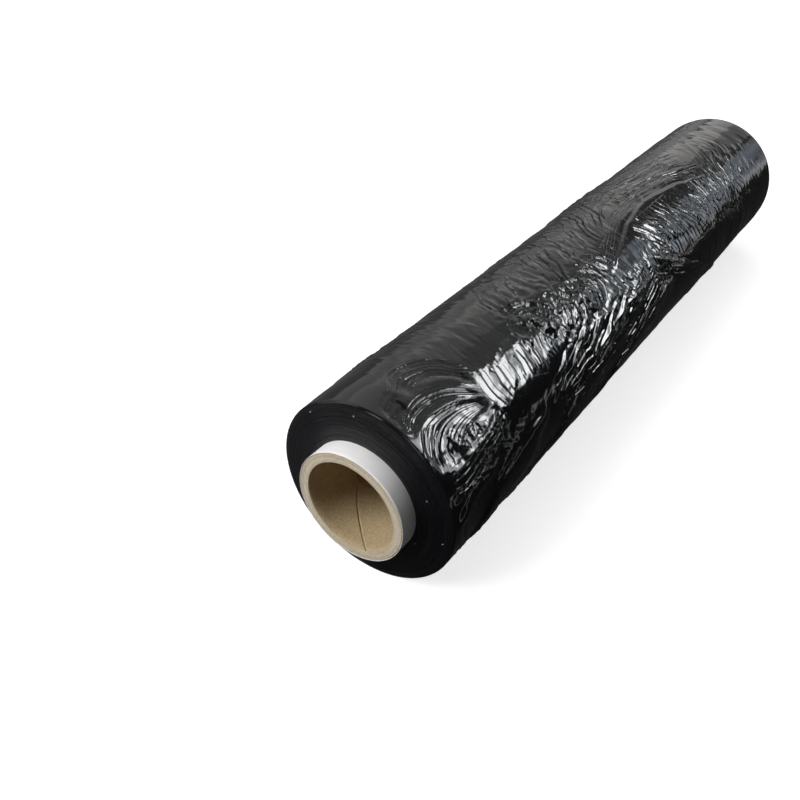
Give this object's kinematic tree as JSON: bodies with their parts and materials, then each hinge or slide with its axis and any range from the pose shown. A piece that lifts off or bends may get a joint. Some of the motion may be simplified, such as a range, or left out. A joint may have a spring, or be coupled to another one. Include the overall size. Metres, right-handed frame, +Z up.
{
  "type": "stretch wrap roll",
  "caption": "Long roll of black stretch film wound on a spiral cardboard core whose ends stand out past the film, lying on its side.",
  "frame": {"origin": "middle of the core's bore, at half its length", "axes": "+Y along the bore towards the far end of the roll, +Z up from the flat that the roll lies on, +X to the right as seen from the front end"},
  "size_m": [0.1041, 0.521, 0.1029],
  "materials": {
    "kraft_board": "matte",
    "white_paper": "matte",
    "black_film": "gloss"
  },
  "bodies": {
    "root": {"core_tube": "kraft_board", "white_ply": "white_paper", "film_roll": "black_film"}
  },
  "joints": []
}
